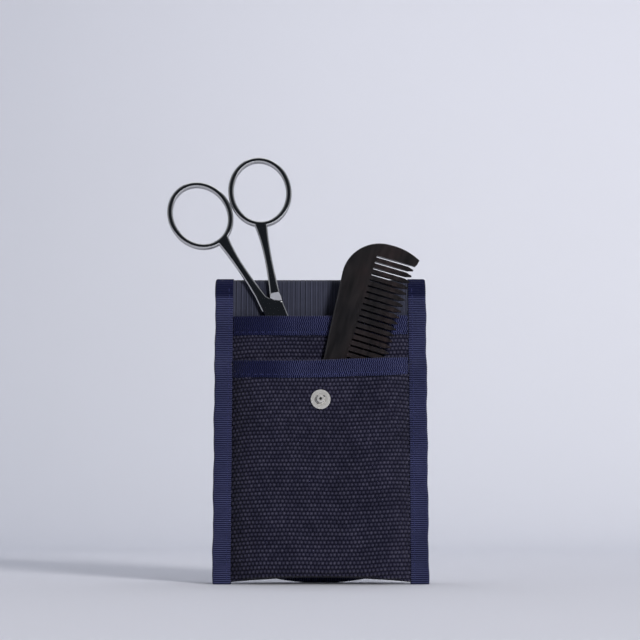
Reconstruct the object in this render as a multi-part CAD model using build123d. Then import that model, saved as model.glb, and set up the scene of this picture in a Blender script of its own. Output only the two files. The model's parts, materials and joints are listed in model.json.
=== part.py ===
"""Beard grooming kit: a bound canvas pouch that stands on its edge, with scissors and a comb in its pockets.

Each piece is drawn in the pouch's own frame: X across, Z up the cloth, and the front faces -Y.
The back panel's front face is the plane Y = 0. The kit is then leaned back and set on the floor.
Sizes are in millimetres and angles in degrees.
"""

from build123d import *
import os
from math import asin, cos, hypot, radians, sin

# Pouch cloth
pouch_width = 107.0
pouch_height = 154.6  # up the cloth, from the floor to the top of the fold
canvas_thickness = 1.8
divider_thickness = 1.6
lining_thickness = 0.5
tape_thickness = 0.5
side_tape_cover = 9.2  # how far the side tape reaches in from the edge
mouth_tape_cover = 10.0
divider_mouth_height = 133.4
front_mouth_height = 109.7
rear_pocket_depth = 5.6  # how far the divider stands off the lining at its middle
front_pocket_depth = 6.2  # how far the front panel stands off the divider at its middle
bulge_power = 6  # how square the swell is
bottom_fold_height = 14.0
bottom_arch = 3.2  # how far the bottom fold's middle is off the floor
bottom_edge_lift = 0.9  # how far its ends are off the floor
foot_allowance = 1.0  # trimmed off the side tapes' feet where they meet the floor
lean = 6.0

# Flap
fold_inner_radius = 0.9
fold_turn = 240.0  # how far the cloth curls round the fold line
flap_from_vertical = 1.5  # the flap's foot stands out behind the fold line
flap_end_radius = 122.0
flap_corner_radius = 8.0
flap_clearance = 0.3  # between the curl and the flap's near end

# Press stud
stud_below_mouth = 20.0  # down the cloth from the front panel's top
stud_flange_radius = 4.9
stud_flange_thickness = 0.7
stud_post_radius = 1.9
stud_post_length = 2.4
stud_groove_radius = 2.4
stud_groove_depth = 0.3
eyelet_bore_radius = 0.7
eyelet_wall = 0.35
eyelet_flange_radius = 3.6
eyelet_flange_thickness = 0.4
cap_radius = 6.0
cap_height = 1.1
socket_radius = 5.4
socket_height = 3.2
socket_bore_radius = 2.0
spring_wire_radius = 0.25
spring_gap = 40.0

# Scissors: the pivot's place on the pouch, and the shape about that pivot with the handles up
scissors_tilt = 22.25
pivot_across = -18.95
pivot_height = 126.2
handle_thickness = 3.6
blade_thickness = 1.7
blade_bevel = 0.45
blade_tip = 1.3  # the width of the blade's end, with room for both bevels
blade_gap = 0.03  # from the mating plane to each blade
blade_length = 60.0
ring_distance = 73.8  # from the pivot to a finger ring's centre
ring_bore_across = 13.3  # half of the finger hole
ring_bore_along = 15.5
ring_wall = 2.9
ring_gap = 0.15
ring_blend_radius = 5.0
handle_edge_radius = 1.1
handle_start = 19.5  # the handle is full thickness beyond this distance from the pivot
ramp_start = 15.9  # on the side that faces the other blade it starts to rise here
ramp_end = 20.5
ramp_clearance = 0.35  # round the other blade
ricasso_overlap = 3.0
shank_neck_height = 50.0
shank_neck_across = 8.7
shank_neck_width = 3.7
shoulder_height = 15.2
shoulder_across = 5.6
screw_radius = 1.6
screw_clearance = 0.05
screw_head_radius = 3.3
screw_head_height = 0.6
screw_slot_width = 0.7
screw_slot_depth = 0.35
seat_clearance = 0.3  # between a tool and the cloth that it lies against

# Comb: the root of its first gap on the pouch, and the shape about that root with the teeth to the right
comb_tilt = 16.5
comb_root_across = 28.3
comb_root_height = 163.3
comb_thickness = 3.2
comb_tip_thickness = 1.4
comb_back_radius = 0.8  # on the back's edges
comb_tooth_length = 19.6
comb_pitch = 3.17
comb_gap = 1.0
comb_gap_count = 33
comb_wide_spine = 14.2  # from the root line to the back, near the wide end
comb_narrow_spine = 7.0
comb_head = 7.8  # from the first gap to the wide end
comb_tail = 8.0  # from the last gap to the narrow end
comb_guard_reach = 1.6  # the end teeth stand this far past the others

# Worked out from the sizes above
half_width = pouch_width / 2
cloth_edge = half_width - tape_thickness
seam = half_width - side_tape_cover
lining_front = -lining_thickness
divider_front = lining_front - divider_thickness
front_face = divider_front - canvas_thickness
front_bulge = rear_pocket_depth + front_pocket_depth
fold_outer_radius = fold_inner_radius + canvas_thickness + lining_thickness + tape_thickness
fold_y = canvas_thickness + fold_inner_radius
fold_z = pouch_height - fold_outer_radius
flap_start = fold_outer_radius + flap_clearance
flap_splay = lean + flap_from_vertical
fold_drop = fold_z * cos(radians(lean)) - fold_y * sin(radians(lean))
flap_length = fold_drop / cos(radians(flap_from_vertical)) + tape_thickness
stud_height = front_mouth_height - stud_below_mouth
mating_y = lining_front - seat_clearance - handle_thickness / 2
comb_y = divider_front - rear_pocket_depth - tape_thickness - seat_clearance - comb_thickness / 2
comb_length = comb_gap_count * comb_pitch
fold_axis = Axis((0, fold_y, fold_z), (1, 0, 0))
BEYOND = 400.0


def box_between(x, y, z):
    """A box from one (low, high) pair per axis."""
    low = (x[0], y[0], z[0])
    size = (x[1] - x[0], y[1] - y[0], z[1] - z[0])
    corner = (Align.MIN, Align.MIN, Align.MIN)
    return Pos(*low) * Box(*size, align=corner)


def disc(radius, y, length):
    """A round bar along +Y from y."""
    return Pos(0, y, 0) * extrude(Plane.XZ * Circle(radius), amount=length, dir=(0, 1, 0))


def curl(x, y):
    """Cloth between (low, high) pairs in X and Y at the fold's height, wound round the fold line."""
    strip = Pos((x[0] + x[1]) / 2, (y[0] + y[1]) / 2, fold_z) * Rectangle(x[1] - x[0], y[1] - y[0])
    over_the_top = Axis((0, fold_y, fold_z), (-1, 0, 0))
    return revolve(strip, axis=over_the_top, revolution_arc=fold_turn)


def bulge_edge(base, depth, edge):
    """Edges from X = -edge to edge, flat at Y = base outside the seams and swelling by depth between them.

    Between the seams, Y = base - depth * (1 - (X / seam) ** bulge_power).
    """
    slope = bulge_power * depth / seam
    swell = []
    for side in (-1, 1):
        stations = [side * seam * cos(radians(15 * i)) for i in range(6)] + [0]
        points = [(x, base - depth * (1 - (x / seam) ** bulge_power)) for x in stations]
        swell.append(Spline(points, tangents=[(-side, -slope), (-side, 0)]))
    if edge <= seam:
        return swell
    return [Line((-edge, base), (-seam, base)), *swell, Line((seam, base), (edge, base))]


def bulge_face(rear, front, rear_depth, front_depth, edge, z=0.0):
    """A flat face at height z between two swelling edges."""
    back = bulge_edge(rear, rear_depth, edge)
    face = bulge_edge(front, front_depth, edge)
    ends = [Line((side * edge, rear), (side * edge, front)) for side in (-1, 1)]
    return Pos(0, 0, z) * make_face(back + face + ends)


def swelling_panel(rear, thickness, depth, edge, z):
    """A panel of even thickness that swells between the seams, between a (low, high) pair in Z."""
    section = bulge_face(rear, rear - thickness, depth, depth, edge, z[0])
    return extrude(section, amount=z[1] - z[0], dir=(0, 0, 1))


def back_cloth(y):
    """A layer of the back from the bottom fold to the end of the curl, between a (low, high) pair in Y."""
    edge = (-cloth_edge, cloth_edge)
    return box_between(edge, y, (bottom_fold_height, fold_z)) + curl(edge, y)


def front_panel():
    return swelling_panel(
        divider_front, canvas_thickness, front_bulge, cloth_edge, (bottom_fold_height, front_mouth_height)
    )


def divider_panel():
    return swelling_panel(
        lining_front, divider_thickness, rear_pocket_depth, cloth_edge, (bottom_fold_height / 2, divider_mouth_height)
    )


def mouth_tape(panel, behind, rear, thickness, depth, height):
    """Tape folded over a pocket's mouth, between the side tapes and clear of the cloth behind it."""
    reach = (height - mouth_tape_cover, height + tape_thickness)
    wrap = swelling_panel(rear + tape_thickness, thickness + 2 * tape_thickness, depth, seam, reach)
    return wrap - panel - behind


def bottom_fold():
    """The turn of canvas that joins the front panel to the back, a channel that is open at its ends."""
    low = bottom_edge_lift
    turn = 0.45 * bottom_fold_height
    wide = bulge_face(canvas_thickness, front_face, 0, front_bulge, cloth_edge, bottom_fold_height)
    waist = bulge_face(canvas_thickness, front_face, 0, 0.9 * front_bulge, cloth_edge, turn)
    sole = bulge_face(canvas_thickness, front_face, 0, 0.55 * front_bulge, cloth_edge, low)
    skin = loft([sole, waist, wide], ruled=True)
    floor = bottom_arch + canvas_thickness
    inner_wide = bulge_face(0, divider_front, 0, front_bulge, cloth_edge, bottom_fold_height)
    inner_waist = bulge_face(0, divider_front, 0, 0.85 * front_bulge, cloth_edge, turn)
    inner_sole = bulge_face(0, divider_front, 0, 0.6 * front_bulge, cloth_edge, floor)
    hollow = loft([inner_sole, inner_waist, inner_wide], ruled=True)
    rise = bottom_arch - low
    arch_radius = (seam**2 + rise**2) / (2 * rise)
    arch = Pos(0, 0, bottom_arch - arch_radius) * extrude(Plane.XZ * Circle(arch_radius), BEYOND / 4, both=True)
    return skin - hollow - arch


def side_tape(side):
    """Tape folded round one edge of the stack, stepping back where each pocket's cloth ends."""
    edge = (seam, half_width) if side > 0 else (-half_width, -seam)
    stack = (seam, cloth_edge) if side > 0 else (-cloth_edge, -seam)
    layers = [(front_face, front_mouth_height), (divider_front, divider_mouth_height)]
    rear = canvas_thickness + tape_thickness
    tape = box_between(edge, (lining_front - tape_thickness, rear), (-foot_allowance, fold_z))
    tape += curl(edge, (lining_front - tape_thickness, rear))
    inner = box_between(stack, (lining_front, canvas_thickness), (bottom_edge_lift, fold_z))
    inner += curl(stack, (lining_front, canvas_thickness))
    for front, top in layers:
        tape += box_between(edge, (front - tape_thickness, rear), (-foot_allowance, top + tape_thickness))
        inner += box_between(stack, (front, canvas_thickness), (bottom_edge_lift, top))
    return tape - inner


def flap_outline(inset, top):
    """The flap's face in XZ, with a bowed end, drawn in by inset and cut off at height top."""
    wide = half_width - inset
    radius = flap_end_radius - inset
    end = fold_z - flap_length + inset
    side_end = end + radius - (radius**2 - wide**2) ** 0.5
    start = fold_z - top
    outline = [
        Line((-wide, start), (-wide, side_end)),
        ThreePointArc((-wide, side_end), (0, end), (wide, side_end)),
        Line((wide, side_end), (wide, start)),
        Line((wide, start), (-wide, start)),
    ]
    face = make_face(outline)
    corners = face.vertices().sort_by(Axis.Y)[:2]
    return Plane.XZ * fillet(corners, max(flap_corner_radius - inset, 1.0))


def flap_layer(inset, y, top=flap_start):
    """A layer of the flap between a (low, high) pair in Y, as it hangs flat behind the back."""
    face = Pos(0, y[0], 0) * flap_outline(inset, top)
    return extrude(face, amount=y[1] - y[0], dir=(0, 1, 0))


flap_canvas_y = (fold_y + fold_inner_radius, fold_y + fold_inner_radius + canvas_thickness)
flap_lining_y = (flap_canvas_y[1], flap_canvas_y[1] + lining_thickness)
flap_tape_y = (flap_canvas_y[0] - tape_thickness, flap_lining_y[1] + tape_thickness)
snap_reach = fold_z - stud_height + front_bulge  # from the fold line to the socket on the flap
snap_z = fold_z - snap_reach


def flap_tape():
    """Tape folded round the flap's sides and its bowed end."""
    cloth = flap_layer(tape_thickness, (flap_canvas_y[0], flap_lining_y[1]), top=-1)
    window = flap_layer(side_tape_cover + tape_thickness, (flap_tape_y[0] - 1, flap_tape_y[1] + 1), top=-1)
    return flap_layer(0, flap_tape_y) - cloth - window


def snap_stud():
    """The press stud's post on its flange, in front of the front panel."""
    face = front_face - front_bulge
    flange = disc(stud_flange_radius, face - stud_flange_thickness, stud_flange_thickness)
    rim = flange.edges().filter_by(GeomType.CIRCLE).sort_by(Axis.Y)[0]
    flange = fillet(rim, 0.8 * stud_flange_thickness)
    groove = disc(stud_groove_radius, face - stud_flange_thickness, stud_groove_depth)
    post = disc(stud_post_radius, face - stud_flange_thickness - stud_post_length, stud_post_length + stud_groove_depth)
    hole = disc(eyelet_bore_radius + eyelet_wall, face - BEYOND, 2 * BEYOND)
    return Pos(0, 0, stud_height) * (flange - groove + post - hole)


def snap_eyelet():
    """The eyelet that holds the stud from inside the front pocket."""
    inside = divider_front - front_bulge
    tip = front_face - front_bulge - stud_flange_thickness - stud_post_length
    tube = disc(eyelet_bore_radius + eyelet_wall, tip, inside - tip)
    flange = disc(eyelet_flange_radius, inside, eyelet_flange_thickness)
    return Pos(0, 0, stud_height) * (tube + flange - disc(eyelet_bore_radius, tip, inside - tip))


def snap_cap():
    """The domed cap on the flap's canvas face, with its tube through the cloth."""
    outside = flap_canvas_y[0]
    sphere_radius = (cap_radius**2 + cap_height**2) / (2 * cap_height)
    ball = Pos(0, outside - cap_height + sphere_radius, 0) * Sphere(sphere_radius)
    dome = ball & box_between((-BEYOND, BEYOND), (outside - cap_height, outside), (-BEYOND, BEYOND))
    tube = disc(eyelet_bore_radius + eyelet_wall, outside, canvas_thickness + lining_thickness + eyelet_flange_thickness)
    return Pos(0, 0, snap_z) * (dome + tube)


def snap_socket():
    """The socket on the flap's lining face, a turned ring with a groove for its spring."""
    face = flap_lining_y[1]
    body = disc(socket_radius, face, socket_height)
    rim = body.edges().filter_by(GeomType.CIRCLE).sort_by(Axis.Y)[-1]
    body = fillet(rim, 0.35 * socket_height)
    bore = disc(socket_bore_radius, face + eyelet_flange_thickness, socket_height)
    seat = disc(eyelet_bore_radius + eyelet_wall, face, socket_height)
    groove = disc(spring_ring_radius + 2 * spring_wire_radius, spring_y - 2 * spring_wire_radius, 4 * spring_wire_radius)
    return Pos(0, 0, snap_z) * (body - bore - seat - groove)


spring_ring_radius = socket_bore_radius + 2 * spring_wire_radius
spring_y = flap_lining_y[1] + 0.5 * socket_height


def snap_spring():
    """The split wire ring that grips the stud, in the socket's groove."""
    wire = Pos(spring_ring_radius, spring_y, 0) * Circle(spring_wire_radius)
    return Pos(0, 0, snap_z) * revolve(wire, axis=Axis.Y, revolution_arc=360 - spring_gap).rotate(Axis.Y, 90)


def handle_half_angle():
    """The angle at the pivot from the scissors' middle line to a ring's centre, with ring_gap between the rings."""
    across = ring_bore_across + ring_wall
    along = ring_bore_along + ring_wall
    angle = asin(across / ring_distance)
    for _ in range(20):
        reach = hypot(across * cos(angle), along * sin(angle)) + ring_gap / 2
        angle = asin(reach / ring_distance)
    return angle


def ring_place():
    """Where a left ring's centre is, and how its long axis points at the pivot."""
    angle = handle_half_angle()
    turn = angle * 180 / 3.141592653589793
    return Pos(-ring_distance * sin(angle), ring_distance * cos(angle)) * Rot(0, 0, turn)


def shank_face():
    """The left shank seen from the front, tapering up from the shoulder and spreading into its ring."""
    half = shank_neck_width / 2
    top = shank_neck_height + ring_blend_radius + 2 * ring_wall
    outside = [
        (-0.85 * shoulder_across - 0.9, shoulder_height),
        (-0.5 * shoulder_across - shank_neck_across / 2 - half / 2, 0.64 * shank_neck_height),
        (-shank_neck_across - half, shank_neck_height - 6),
        (-shank_neck_across - half - ring_blend_radius, top),
    ]
    inside = [
        (0.1 * shoulder_across, shoulder_height),
        (-0.7 * half, handle_start + 2),
        (-0.52 * shank_neck_across, 0.68 * shank_neck_height),
        (-shank_neck_across + half, shank_neck_height - 2),
        (-shank_neck_across + 0.9 * half, top),
    ]
    return make_face([
        Spline(outside),
        Line(outside[-1], inside[-1]),
        Spline(inside),
        Line(inside[0], outside[0]),
    ])


def rounded_plate(face, ends=0):
    """The handles' full thickness of a flat outline, with its edges rounded but for those across its ends."""
    plate = extrude(Plane.XZ * face, amount=handle_thickness / 2, both=True)
    sides = plate.faces().sort_by(Axis.Y)
    rims = (sides[0].edges() + sides[-1].edges()).sort_by(Axis.Z)
    return fillet(rims[ends : len(rims) - ends], handle_edge_radius)


def handle():
    """The left finger ring and its shank."""
    outer = ring_place() * Ellipse(ring_bore_across + ring_wall, ring_bore_along + ring_wall)
    hole = ring_place() * Ellipse(ring_bore_across, ring_bore_along)
    inside = ring_place() * Ellipse(ring_bore_across + ring_wall / 2, ring_bore_along + ring_wall / 2)
    shank = rounded_plate(shank_face(), ends=2) - extrude(Plane.XZ * inside, amount=handle_thickness, both=True)
    return shank + rounded_plate(outer - hole)


def blade_face():
    """The front blade and its ricasso seen from the front, with the cutting edge on its left."""
    outer_top = (-6.3, handle_start + ricasso_overlap)
    inner_top = (-2.4, handle_start + ricasso_overlap)
    return make_face([
        Line(outer_top, (-5.6, 10.0)),
        ThreePointArc((-5.6, 10.0), (-5.2, 0.0), (-4.4, -8.0)),
        Line((-4.4, -8.0), (-blade_tip / 2, -blade_length)),
        Line((-blade_tip / 2, -blade_length), (blade_tip / 2, -blade_length)),
        ThreePointArc((blade_tip / 2, -blade_length), (4.6, -0.43 * blade_length), (5.5, 0.0)),
        Line((5.5, 0.0), (shoulder_across, shoulder_height - 0.6)),
        ThreePointArc((shoulder_across, shoulder_height - 0.6), (1.2, 0.89 * handle_start), inner_top),
        Line(inner_top, outer_top),
    ])


def scissor_half(side):
    """One half, in front (side -1, ring on the left) or behind (side 1, ring on the right), about the pivot."""
    ramp = Pos(0, handle_thickness / 4, 0) * Rot(-90, 0, 0) * Cone(ramp_start, ramp_end, handle_thickness / 2)
    other = mirror(offset(blade_face(), ramp_clearance), about=Plane.YZ)
    other = extrude(Plane.XZ * other, amount=BEYOND, dir=(0, 1, 0))
    grip = handle() - disc(handle_start, -BEYOND, BEYOND) - ramp - other
    blade = extrude(Plane.XZ * blade_face(), amount=blade_thickness, dir=(0, -1, 0))
    rim = blade.faces().sort_by(Axis.Y)[0].edges().sort_by(Axis.Z)
    blade = chamfer(rim[:-1], blade_bevel)
    blade = Pos(0, -blade_gap, 0) * blade
    hole = screw_radius + (screw_clearance if side < 0 else 0)
    half = grip + blade - disc(hole, -BEYOND, 2 * BEYOND)
    return half if side < 0 else half.rotate(Axis.Z, 180)


def pivot_screw():
    """The slotted screw, turning in the front half and fast in the rear half."""
    front = -blade_gap - blade_thickness - screw_clearance
    rear = blade_gap + blade_thickness
    head = disc(screw_head_radius, front - screw_head_height, screw_head_height)
    rim = head.edges().filter_by(GeomType.CIRCLE).sort_by(Axis.Y)[0]
    head = fillet(rim, 0.8 * screw_head_height)
    slot = box_between(
        (-screw_head_radius, screw_head_radius),
        (front - screw_head_height, front - screw_head_height + screw_slot_depth),
        (-screw_slot_width / 2, screw_slot_width / 2),
    )
    return head + disc(screw_radius, front, rear - front) - slot


def place_scissors(shape):
    return Pos(pivot_across, mating_y, pivot_height) * shape.rotate(Axis.Y, -scissors_tilt)


def comb_face():
    """The comb seen from the front: a bowed back, a rounded wide end and a narrow end, before its gaps are cut."""
    tip = comb_tooth_length
    guard = tip + comb_guard_reach
    foot = -comb_length - comb_tail
    wide, narrow = comb_wide_spine, comb_narrow_spine
    shoulder = (-wide, -1.8 * comb_head)
    crown = (0.25 * tip, comb_head)
    heel = (-narrow, foot + 2 * comb_tail)
    sole = (0.3 * tip, foot)
    middle = (-0.87 * wide, -0.38 * comb_length)
    back_in = (-narrow + 0.6, -comb_length - 0.3 * comb_tail)
    return make_face([
        ThreePointArc(heel, middle, shoulder),
        ThreePointArc(shoulder, (-0.68 * wide, 0.15 * comb_head), crown),
        ThreePointArc(crown, (0.75 * tip, 0.87 * comb_head), (guard, 0.54 * comb_head)),
        Line((guard, 0.54 * comb_head), (guard - 0.5, 0.25 * comb_head)),
        Line((guard - 0.5, 0.25 * comb_head), (tip, 0)),
        Line((tip, 0), (tip, -comb_length)),
        Line((tip, -comb_length), (guard - 0.5, -comb_length - 0.25 * comb_head)),
        Line((guard - 0.5, -comb_length - 0.25 * comb_head), (guard - 1, foot + 2.5)),
        ThreePointArc((guard - 1, foot + 2.5), (0.7 * tip, foot + 0.7), sole),
        ThreePointArc(sole, back_in, heel),
    ])


def comb_gap_face(index):
    """One gap between teeth, widening where the teeth come to their points but not at the two end guards."""
    middle = -index * comb_pitch
    half = comb_gap / 2
    below = half if index == comb_gap_count else 0.43 * comb_pitch
    above = half if index == 0 else 0.43 * comb_pitch
    tip, point, beyond = comb_tooth_length, 3.0, comb_tooth_length + comb_guard_reach + 1
    return make_face(Polyline(
        (0, middle - half), (tip - point, middle - half), (tip, middle - below), (beyond, middle - below),
        (beyond, middle + above), (tip, middle + above), (tip - point, middle + half), (0, middle + half), close=True,
    ))


def comb():
    """The comb about its first gap's root, thinning towards the tips of its teeth."""
    plate = extrude(Plane.XZ * comb_face(), amount=comb_thickness / 2, both=True)
    sides = plate.faces().sort_by(Axis.Y)
    rims = sides[0].edges() + sides[-1].edges()
    back = [edge for edge in rims.filter_by(GeomType.CIRCLE) if edge.center().Z > -0.8 * comb_length]
    plate = fillet(back, comb_back_radius)
    reach = comb_tooth_length + comb_guard_reach + 1
    thin, full = comb_tip_thickness / 2, comb_thickness / 2
    for side in (-1, 1):
        wedge = make_face(Polyline((0, side * full), (reach, side * thin), (reach, side * BEYOND), (0, side * BEYOND), close=True))
        plate -= Pos(0, 0, -BEYOND / 2) * extrude(wedge, amount=BEYOND, dir=(0, 0, 1))
    gaps = [Plane.XZ * comb_gap_face(i) for i in range(comb_gap_count + 1)]
    cuts = [extrude(gap, amount=comb_thickness, both=True) for gap in gaps]
    return plate.cut(*cuts)


def place_comb(shape):
    return Pos(comb_root_across, comb_y, comb_root_height) * shape.rotate(Axis.Y, comb_tilt)


def on_floor(shape):
    """Leans a piece of the pouch back, and trims it where it meets the floor."""
    leaned = shape.rotate(Axis.X, -lean)
    below = box_between((-BEYOND, BEYOND), (-BEYOND, BEYOND), (-BEYOND, 0))
    return leaned - below if leaned.bounding_box().min.Z < 0 else leaned


def splay(shape):
    """Swings a piece of the flap out to where its foot stands."""
    return shape.rotate(fold_axis, flap_splay)


def pieces():
    """Every piece by name, leaned and standing on the floor."""
    front, divider = front_panel(), divider_panel()
    back = box_between((-BEYOND, BEYOND), (lining_front, 0), (0, BEYOND))
    panel_hole = Pos(0, 0, stud_height) * disc(eyelet_bore_radius + eyelet_wall, front_face - front_bulge - 1, front_bulge)
    flap_hole = Pos(0, 0, snap_z) * disc(eyelet_bore_radius + eyelet_wall, flap_canvas_y[0] - 1, 5)
    pouch = {
        "back_panel": back_cloth((0, canvas_thickness)),
        "back_lining": back_cloth((lining_front, 0)),
        "bottom_fold": bottom_fold(),
        "divider_panel": divider,
        "divider_mouth_tape": mouth_tape(
            divider, back, lining_front, divider_thickness, rear_pocket_depth, divider_mouth_height
        ),
        "front_panel": front - panel_hole,
        "front_mouth_tape": mouth_tape(
            front, divider, divider_front, canvas_thickness, front_bulge, front_mouth_height
        ),
        "left_side_tape": side_tape(-1),
        "right_side_tape": side_tape(1),
        "snap_stud": snap_stud() - front,
        "snap_eyelet": snap_eyelet() - front,
        "scissor_front_half": place_scissors(scissor_half(-1)),
        "scissor_rear_half": place_scissors(scissor_half(1)),
        "pivot_screw": place_scissors(pivot_screw()),
        "comb": place_comb(comb()),
    }
    flap = {
        "flap_panel": flap_layer(tape_thickness, flap_canvas_y) - flap_hole,
        "flap_lining": flap_layer(tape_thickness, flap_lining_y) - flap_hole,
        "flap_tape": flap_tape(),
        "snap_cap": snap_cap(),
        "snap_socket": snap_socket(),
        "snap_spring": snap_spring(),
    }
    return {name: on_floor(shape) for name, shape in pouch.items()} | {
        name: on_floor(splay(shape)) for name, shape in flap.items()
    }


def row_shift(shapes):
    """The move that puts the middle of the kit's footprint at the origin."""
    boxes = [shape.bounding_box() for shape in shapes.values()]
    middle = [
        (min(getattr(b.min, axis) for b in boxes) + max(getattr(b.max, axis) for b in boxes)) / 2 for axis in "XY"
    ]
    return Pos(-middle[0], -middle[1], 0)


def main():
    os.makedirs("parts", exist_ok=True)
    shapes = pieces()
    shift = row_shift(shapes)
    for name, shape in shapes.items():
        export_step(shift * shape, f"parts/{name}.step")


if __name__ == "__main__":
    main()
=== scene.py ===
"""Beard grooming kit: a bound canvas pouch standing on its edge, with scissors and a comb in its pockets.

Each shape is worked out in millimetres in the pouch's own frame, X across, Y to the back and Z up the cloth,
and is then leaned back and put in the CAD frame in metres.
"""

import json
from math import asin, cos, pi, radians, sin, sqrt

import bpy
import numpy as np
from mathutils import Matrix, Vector


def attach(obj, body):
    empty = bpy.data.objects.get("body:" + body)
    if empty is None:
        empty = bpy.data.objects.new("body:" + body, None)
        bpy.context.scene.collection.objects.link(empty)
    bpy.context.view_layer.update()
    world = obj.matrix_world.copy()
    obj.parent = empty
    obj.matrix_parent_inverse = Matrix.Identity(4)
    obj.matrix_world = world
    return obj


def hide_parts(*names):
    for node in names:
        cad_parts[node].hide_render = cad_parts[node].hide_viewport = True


bl_info = {
    "name": "Beard grooming kit",
    "version": (1, 0, 0),
    "blender": (4, 5, 0),
    "location": "3D View > Sidebar > Grooming kit",
    "description": "Makes the cloth, tapes, stitches, press stud and tools of a small standing pouch",
    "category": "Object",
}

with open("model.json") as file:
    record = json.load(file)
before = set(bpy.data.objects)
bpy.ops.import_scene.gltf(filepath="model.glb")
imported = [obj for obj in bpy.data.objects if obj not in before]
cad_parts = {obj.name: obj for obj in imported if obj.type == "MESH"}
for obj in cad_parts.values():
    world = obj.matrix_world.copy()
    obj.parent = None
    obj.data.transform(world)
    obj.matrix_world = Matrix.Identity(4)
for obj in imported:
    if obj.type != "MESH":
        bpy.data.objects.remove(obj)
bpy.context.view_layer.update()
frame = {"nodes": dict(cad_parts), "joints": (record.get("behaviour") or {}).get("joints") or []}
JOINTS = {joint["name"]: joint for joint in frame["joints"]}

# The pouch in millimetres: half widths of the whole and between its side tapes, and each cloth's thickness
HALF_WIDTH = 53.5
SEAM = 44.3
CANVAS = 1.8
DIVIDER = 1.6
LINING = 0.5
TAPE = 0.5
# How far each pocket swells, the heights up the cloth, and the fold at the top, over which the cloth is wound
REAR_DEPTH = 5.6
FRONT_DEPTH = 11.8
SOLE = 1.0
SOLE_ARCH = 2.1
BOTTOM = 14.0
CLOTH_FOOT = BOTTOM - 8
DIVIDER_FOOT = 7.5
STUD_Z = 89.7
FRONT_MOUTH = 109.7
DIVIDER_MOUTH = 133.4
MOUTH_COVER = {"front": 8.9, "divider": 10.0}
LEAN = radians(6.0)
FOLD_Y = 2.7
FOLD_Z = 150.9
CURL_TURN = radians(240.0)
CURL_RADIUS = 3.7
CURL_END = FOLD_Z + CURL_TURN * CURL_RADIUS
SEAM_ALLOWANCE = 1.5
# The flap's angle from the upright, and how far from the fold line each of its cloths starts
FLAP_SPLAY = radians(7.5)
FLAP_TAPE_START = 3.95
FLAP_CANVAS_START = 3.45
FLAP_LINING_START = 2.3
LINING_FRONT = -LINING
DIVIDER_FRONT = LINING_FRONT - DIVIDER
PANEL_FRONT = DIVIDER_FRONT - CANVAS
FLAP_LENGTH = (FOLD_Z * cos(LEAN) - FOLD_Y * sin(LEAN)) / cos(FLAP_SPLAY - LEAN) + TAPE
FLAP_END_RADIUS = 122.0
# Pitches of the tape's ribs and of the stitches
RIB = 0.95
STITCH_PITCH = 3.3
# The basket weave: its pitch across and up, and how far it stands out behind and on the flap
WEAVE_PITCH = (1.89, 2.01)
BACK_RELIEF = 0.35

FOLD = np.array(JOINTS["flap_fold"]["pos_m"])
SHIFT = np.array([FOLD[0], FOLD[1] - (FOLD_Y * cos(LEAN) + FOLD_Z * sin(LEAN)) / 1000, 0.0])


# Shapes


def leaned(points):
    """Millimetres in the pouch's frame to metres in the CAD frame: a turn by the lean, then a shift."""
    x, y, z = points[..., 0], points[..., 1], points[..., 2]
    turned = np.stack([x, y * cos(LEAN) + z * sin(LEAN), z * cos(LEAN) - y * sin(LEAN)], axis=-1)
    placed = turned / 1000 + SHIFT
    placed[..., 2] = np.maximum(placed[..., 2], 0.0001)
    return placed


def splayed(x, off, w):
    """A flap point from its distance off the fold line's plane and its distance w below the fold line."""
    y = off * cos(FLAP_SPLAY) + w * sin(FLAP_SPLAY)
    z = off * sin(FLAP_SPLAY) - w * cos(FLAP_SPLAY)
    return spread(x, FOLD_Y + y, FOLD_Z + z)


def curled(x, y, t):
    """Cloth that runs straight up to the fold line and then winds round it, t being the length along it."""
    angle = np.clip(t - FOLD_Z, 0, None) / CURL_RADIUS
    reach = FOLD_Y - y
    yy = FOLD_Y - reach * np.cos(angle)
    zz = np.minimum(t, FOLD_Z) + reach * np.sin(angle)
    return spread(x, yy, zz)


def swell(x):
    """How far a panel stands out at x, from 0 at the seams to 1 between them."""
    return 1 - np.clip(np.abs(x) / SEAM, 0, 1) ** 6


def ease(t):
    """A smooth step from 0 to 1."""
    t = np.clip(t, 0, 1)
    return t * t * (3 - 2 * t)


def weave(u, v):
    """Where a point of canvas is in its weave, in bumps across and rows up; the rows wander and droop."""
    v = v - 0.05 * np.clip(u, 0, None) ** 2 / 44 + 0.14 * np.sin(u / 9.0) + 0.07 * np.sin(v / 7.3 + u / 3.1)
    u = u + 0.2 * np.sin(v / 2.9 + u / 11.0)
    return np.stack([u / WEAVE_PITCH[0], v / WEAVE_PITCH[1]], axis=-1)


def basket_relief(place):
    """Height from 0 to 1 of the weave: rounded bumps, each row shifted by half a bump, of hashed heights."""
    row = np.floor(place[..., 1])
    across = place[..., 0] + 0.5 * np.mod(row, 2)
    bump = np.abs(np.sin(pi * across)) ** 0.55 * np.abs(np.sin(pi * place[..., 1])) ** 0.6
    hashed = np.sin(row * 12.9898 + np.floor(across) * 78.233) * 43758.5453
    return bump * (0.72 + 0.28 * (hashed - np.floor(hashed)))


def rib_relief(t):
    """Height from 0 to 1 of ribbed tape: one rounded rib to each pitch."""
    return np.abs(np.sin(pi * t / RIB))


def zigzag(v, period=3.4):
    """A triangle wave from 0 to 1 across the tape, which makes its ribs a row of small arrowheads."""
    return np.abs(2 * np.mod(v / period, 1) - 1)


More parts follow.
